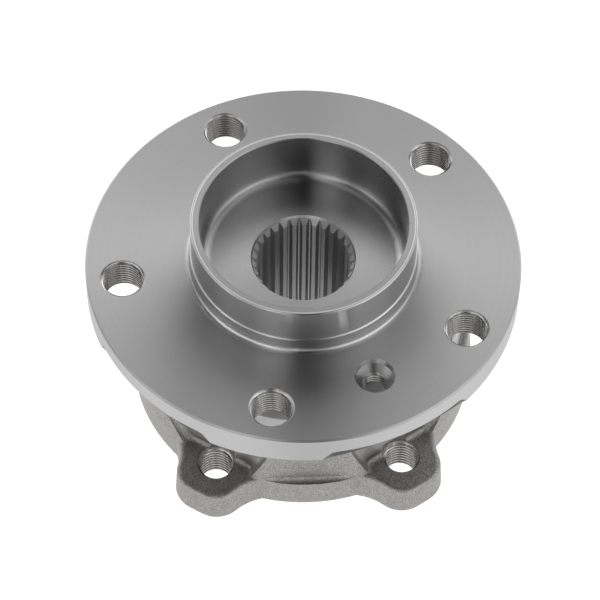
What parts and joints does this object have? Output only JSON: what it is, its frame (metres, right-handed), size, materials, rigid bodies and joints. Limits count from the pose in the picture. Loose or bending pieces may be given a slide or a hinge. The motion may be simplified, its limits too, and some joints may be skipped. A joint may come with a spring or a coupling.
{
  "type": "wheel hub bearing",
  "caption": "Driven-wheel hub bearing unit: wheel flange with threaded bolt holes, pilot ring and splined bore, turning on ball rows inside a forged ring with threaded mounting lugs.",
  "frame": {"origin": "on the spin axis, level with the wheel flange face, at the centre of the wheel bolt circle", "axes": "+Z along the spin axis, out of the wheel flange towards the wheel; +X and +Y are the two middle lines of the rectangle of knuckle bolt holes, with the close pairs of lugs at +Y and -Y"},
  "size_m": [0.144, 0.144, 0.0925],
  "materials": {
    "ground_steel": "turned and fine ground, lightly oiled",
    "blasted_forging": "forged and shot-blasted, matt",
    "bearing_steel": "hardened and ground",
    "ball_steel": "hardened and polished",
    "cage_polyamide": "moulded glass-filled polyamide",
    "seal_steel": "pressed sheet steel",
    "seal_rubber": "moulded nitrile rubber",
    "encoder_rubber": "magnetised rubber, flat ground"
  },
  "bodies": {
    "housing": {"outer_ring": "blasted_forging", "outboard_seal_case": "seal_steel", "outboard_seal_lip": "seal_rubber", "inboard_seal_case": "seal_steel", "inboard_seal_lip": "seal_rubber"},
    "hub": {"wheel_hub": "ground_steel", "inner_ring": "bearing_steel", "slinger": "seal_steel", "encoder_ring": "encoder_rubber"},
    "cage_outboard_row": {"cage_outboard": "cage_polyamide"},
    "cage_inboard_row": {"cage_inboard": "cage_polyamide"},
    "ball_outboard_01_body": {"ball_outboard_01": "ball_steel"},
    "ball_outboard_02_body": {"ball_outboard_02": "ball_steel"},
    "ball_outboard_03_body": {"ball_outboard_03": "ball_steel"},
    "ball_outboard_04_body": {"ball_outboard_04": "ball_steel"},
    "ball_outboard_05_body": {"ball_outboard_05": "ball_steel"},
    "ball_outboard_06_body": {"ball_outboard_06": "ball_steel"},
    "ball_outboard_07_body": {"ball_outboard_07": "ball_steel"},
    "ball_outboard_08_body": {"ball_outboard_08": "ball_steel"},
    "ball_outboard_09_body": {"ball_outboard_09": "ball_steel"},
    "ball_outboard_10_body": {"ball_outboard_10": "ball_steel"},
    "ball_outboard_11_body": {"ball_outboard_11": "ball_steel"},
    "ball_outboard_12_body": {"ball_outboard_12": "ball_steel"},
    "ball_outboard_13_body": {"ball_outboard_13": "ball_steel"},
    "ball_outboard_14_body": {"ball_outboard_14": "ball_steel"},
    "ball_outboard_15_body": {"ball_outboard_15": "ball_steel"},
    "ball_inboard_01_body": {"ball_inboard_01": "ball_steel"},
    "ball_inboard_02_body": {"ball_inboard_02": "ball_steel"},
    "ball_inboard_03_body": {"ball_inboard_03": "ball_steel"},
    "ball_inboard_04_body": {"ball_inboard_04": "ball_steel"},
    "ball_inboard_05_body": {"ball_inboard_05": "ball_steel"},
    "ball_inboard_06_body": {"ball_inboard_06": "ball_steel"},
    "ball_inboard_07_body": {"ball_inboard_07": "ball_steel"},
    "ball_inboard_08_body": {"ball_inboard_08": "ball_steel"},
    "ball_inboard_09_body": {"ball_inboard_09": "ball_steel"},
    "ball_inboard_10_body": {"ball_inboard_10": "ball_steel"},
    "ball_inboard_11_body": {"ball_inboard_11": "ball_steel"},
    "ball_inboard_12_body": {"ball_inboard_12": "ball_steel"},
    "ball_inboard_13_body": {"ball_inboard_13": "ball_steel"},
    "ball_inboard_14_body": {"ball_inboard_14": "ball_steel"},
    "ball_inboard_15_body": {"ball_inboard_15": "ball_steel"}
  },
  "joints": [
    {"name": "hub_spin", "type": "hinge", "parent": "housing", "child": "hub", "pos_m": [0, 0, -0.0405], "axis": [0, 0, 1], "continuous": true},
    {"name": "cage_outboard_spin", "type": "hinge", "parent": "housing", "child": "cage_outboard_row", "pos_m": [0, 0, -0.0275], "axis": [0, 0, 1], "continuous": true},
    {"name": "ball_outboard_01_roll", "type": "hinge", "parent": "cage_outboard_row", "child": "ball_outboard_01_body", "pos_m": [0.036, 0, -0.0275], "axis": [0.6428, 0, 0.766], "continuous": true},
    {"name": "ball_outboard_02_roll", "type": "hinge", "parent": "cage_outboard_row", "child": "ball_outboard_02_body", "pos_m": [0.03289, 0.01464, -0.0275], "axis": [0.5872, 0.2614, 0.766], "continuous": true},
    {"name": "ball_outboard_03_roll", "type": "hinge", "parent": "cage_outboard_row", "child": "ball_outboard_03_body", "pos_m": [0.02409, 0.02675, -0.0275], "axis": [0.4301, 0.4777, 0.766], "continuous": true},
    {"name": "ball_outboard_04_roll", "type": "hinge", "parent": "cage_outboard_row", "child": "ball_outboard_04_body", "pos_m": [0.01112, 0.03424, -0.0275], "axis": [0.1986, 0.6113, 0.766], "continuous": true},
    {"name": "ball_outboard_05_roll", "type": "hinge", "parent": "cage_outboard_row", "child": "ball_outboard_05_body", "pos_m": [-0.00376, 0.0358, -0.0275], "axis": [-0.0672, 0.6393, 0.766], "continuous": true},
    {"name": "ball_outboard_06_roll", "type": "hinge", "parent": "cage_outboard_row", "child": "ball_outboard_06_body", "pos_m": [-0.018, 0.03118, -0.0275], "axis": [-0.3214, 0.5567, 0.766], "continuous": true},
    {"name": "ball_outboard_07_roll", "type": "hinge", "parent": "cage_outboard_row", "child": "ball_outboard_07_body", "pos_m": [-0.02912, 0.02116, -0.0275], "axis": [-0.52, 0.3778, 0.766], "continuous": true},
    {"name": "ball_outboard_08_roll", "type": "hinge", "parent": "cage_outboard_row", "child": "ball_outboard_08_body", "pos_m": [-0.03521, 0.00748, -0.0275], "axis": [-0.6287, 0.1336, 0.766], "continuous": true},
    {"name": "ball_outboard_09_roll", "type": "hinge", "parent": "cage_outboard_row", "child": "ball_outboard_09_body", "pos_m": [-0.03521, -0.00748, -0.0275], "axis": [-0.6287, -0.1336, 0.766], "continuous": true},
    {"name": "ball_outboard_10_roll", "type": "hinge", "parent": "cage_outboard_row", "child": "ball_outboard_10_body", "pos_m": [-0.02912, -0.02116, -0.0275], "axis": [-0.52, -0.3778, 0.766], "continuous": true},
    {"name": "ball_outboard_11_roll", "type": "hinge", "parent": "cage_outboard_row", "child": "ball_outboard_11_body", "pos_m": [-0.018, -0.03118, -0.0275], "axis": [-0.3214, -0.5567, 0.766], "continuous": true},
    {"name": "ball_outboard_12_roll", "type": "hinge", "parent": "cage_outboard_row", "child": "ball_outboard_12_body", "pos_m": [-0.00376, -0.0358, -0.0275], "axis": [-0.0672, -0.6393, 0.766], "continuous": true},
    {"name": "ball_outboard_13_roll", "type": "hinge", "parent": "cage_outboard_row", "child": "ball_outboard_13_body", "pos_m": [0.01112, -0.03424, -0.0275], "axis": [0.1986, -0.6113, 0.766], "continuous": true},
    {"name": "ball_outboard_14_roll", "type": "hinge", "parent": "cage_outboard_row", "child": "ball_outboard_14_body", "pos_m": [0.02409, -0.02675, -0.0275], "axis": [0.4301, -0.4777, 0.766], "continuous": true},
    {"name": "ball_outboard_15_roll", "type": "hinge", "parent": "cage_outboard_row", "child": "ball_outboard_15_body", "pos_m": [0.03289, -0.01464, -0.0275], "axis": [0.5872, -0.2614, 0.766], "continuous": true},
    {"name": "cage_inboard_spin", "type": "hinge", "parent": "housing", "child": "cage_inboard_row", "pos_m": [0, 0, -0.0535], "axis": [0, 0, 1], "continuous": true},
    {"name": "ball_inboard_01_roll", "type": "hinge", "parent": "cage_inboard_row", "child": "ball_inboard_01_body", "pos_m": [0.03521, 0.00748, -0.0535], "axis": [-0.6287, -0.1336, 0.766], "continuous": true},
    {"name": "ball_inboard_02_roll", "type": "hinge", "parent": "cage_inboard_row", "child": "ball_inboard_02_body", "pos_m": [0.02912, 0.02116, -0.0535], "axis": [-0.52, -0.3778, 0.766], "continuous": true},
    {"name": "ball_inboard_03_roll", "type": "hinge", "parent": "cage_inboard_row", "child": "ball_inboard_03_body", "pos_m": [0.018, 0.03118, -0.0535], "axis": [-0.3214, -0.5567, 0.766], "continuous": true},
    {"name": "ball_inboard_04_roll", "type": "hinge", "parent": "cage_inboard_row", "child": "ball_inboard_04_body", "pos_m": [0.00376, 0.0358, -0.0535], "axis": [-0.0672, -0.6393, 0.766], "continuous": true},
    {"name": "ball_inboard_05_roll", "type": "hinge", "parent": "cage_inboard_row", "child": "ball_inboard_05_body", "pos_m": [-0.01112, 0.03424, -0.0535], "axis": [0.1986, -0.6113, 0.766], "continuous": true},
    {"name": "ball_inboard_06_roll", "type": "hinge", "parent": "cage_inboard_row", "child": "ball_inboard_06_body", "pos_m": [-0.02409, 0.02675, -0.0535], "axis": [0.4301, -0.4777, 0.766], "continuous": true},
    {"name": "ball_inboard_07_roll", "type": "hinge", "parent": "cage_inboard_row", "child": "ball_inboard_07_body", "pos_m": [-0.03289, 0.01464, -0.0535], "axis": [0.5872, -0.2614, 0.766], "continuous": true},
    {"name": "ball_inboard_08_roll", "type": "hinge", "parent": "cage_inboard_row", "child": "ball_inboard_08_body", "pos_m": [-0.036, 0, -0.0535], "axis": [0.6428, 0, 0.766], "continuous": true},
    {"name": "ball_inboard_09_roll", "type": "hinge", "parent": "cage_inboard_row", "child": "ball_inboard_09_body", "pos_m": [-0.03289, -0.01464, -0.0535], "axis": [0.5872, 0.2614, 0.766], "continuous": true},
    {"name": "ball_inboard_10_roll", "type": "hinge", "parent": "cage_inboard_row", "child": "ball_inboard_10_body", "pos_m": [-0.02409, -0.02675, -0.0535], "axis": [0.4301, 0.4777, 0.766], "continuous": true},
    {"name": "ball_inboard_11_roll", "type": "hinge", "parent": "cage_inboard_row", "child": "ball_inboard_11_body", "pos_m": [-0.01112, -0.03424, -0.0535], "axis": [0.1986, 0.6113, 0.766], "continuous": true},
    {"name": "ball_inboard_12_roll", "type": "hinge", "parent": "cage_inboard_row", "child": "ball_inboard_12_body", "pos_m": [0.00376, -0.0358, -0.0535], "axis": [-0.0672, 0.6393, 0.766], "continuous": true},
    {"name": "ball_inboard_13_roll", "type": "hinge", "parent": "cage_inboard_row", "child": "ball_inboard_13_body", "pos_m": [0.018, -0.03118, -0.0535], "axis": [-0.3214, 0.5567, 0.766], "continuous": true},
    {"name": "ball_inboard_14_roll", "type": "hinge", "parent": "cage_inboard_row", "child": "ball_inboard_14_body", "pos_m": [0.02912, -0.02116, -0.0535], "axis": [-0.52, 0.3778, 0.766], "continuous": true},
    {"name": "ball_inboard_15_roll", "type": "hinge", "parent": "cage_inboard_row", "child": "ball_inboard_15_body", "pos_m": [0.03521, -0.00748, -0.0535], "axis": [-0.6287, 0.1336, 0.766], "continuous": true}
  ],
  "couplings": [
    {"joint": "cage_outboard_spin", "follows": "hub_spin", "ratio": 0.42818},
    {"joint": "ball_outboard_01_roll", "follows": "hub_spin", "ratio": -2.6117},
    {"joint": "ball_outboard_02_roll", "follows": "hub_spin", "ratio": -2.6117},
    {"joint": "ball_outboard_03_roll", "follows": "hub_spin", "ratio": -2.6117},
    {"joint": "ball_outboard_04_roll", "follows": "hub_spin", "ratio": -2.6117},
    {"joint": "ball_outboard_05_roll", "follows": "hub_spin", "ratio": -2.6117},
    {"joint": "ball_outboard_06_roll", "follows": "hub_spin", "ratio": -2.6117},
    {"joint": "ball_outboard_07_roll", "follows": "hub_spin", "ratio": -2.6117},
    {"joint": "ball_outboard_08_roll", "follows": "hub_spin", "ratio": -2.6117},
    {"joint": "ball_outboard_09_roll", "follows": "hub_spin", "ratio": -2.6117},
    {"joint": "ball_outboard_10_roll", "follows": "hub_spin", "ratio": -2.6117},
    {"joint": "ball_outboard_11_roll", "follows": "hub_spin", "ratio": -2.6117},
    {"joint": "ball_outboard_12_roll", "follows": "hub_spin", "ratio": -2.6117},
    {"joint": "ball_outboard_13_roll", "follows": "hub_spin", "ratio": -2.6117},
    {"joint": "ball_outboard_14_roll", "follows": "hub_spin", "ratio": -2.6117},
    {"joint": "ball_outboard_15_roll", "follows": "hub_spin", "ratio": -2.6117},
    {"joint": "cage_inboard_spin", "follows": "hub_spin", "ratio": 0.42818},
    {"joint": "ball_inboard_01_roll", "follows": "hub_spin", "ratio": -2.6117},
    {"joint": "ball_inboard_02_roll", "follows": "hub_spin", "ratio": -2.6117},
    {"joint": "ball_inboard_03_roll", "follows": "hub_spin", "ratio": -2.6117},
    {"joint": "ball_inboard_04_roll", "follows": "hub_spin", "ratio": -2.6117},
    {"joint": "ball_inboard_05_roll", "follows": "hub_spin", "ratio": -2.6117},
    {"joint": "ball_inboard_06_roll", "follows": "hub_spin", "ratio": -2.6117},
    {"joint": "ball_inboard_07_roll", "follows": "hub_spin", "ratio": -2.6117},
    {"joint": "ball_inboard_08_roll", "follows": "hub_spin", "ratio": -2.6117},
    {"joint": "ball_inboard_09_roll", "follows": "hub_spin", "ratio": -2.6117},
    {"joint": "ball_inboard_10_roll", "follows": "hub_spin", "ratio": -2.6117},
    {"joint": "ball_inboard_11_roll", "follows": "hub_spin", "ratio": -2.6117},
    {"joint": "ball_inboard_12_roll", "follows": "hub_spin", "ratio": -2.6117},
    {"joint": "ball_inboard_13_roll", "follows": "hub_spin", "ratio": -2.6117},
    {"joint": "ball_inboard_14_roll", "follows": "hub_spin", "ratio": -2.6117},
    {"joint": "ball_inboard_15_roll", "follows": "hub_spin", "ratio": -2.6117}
  ]
}
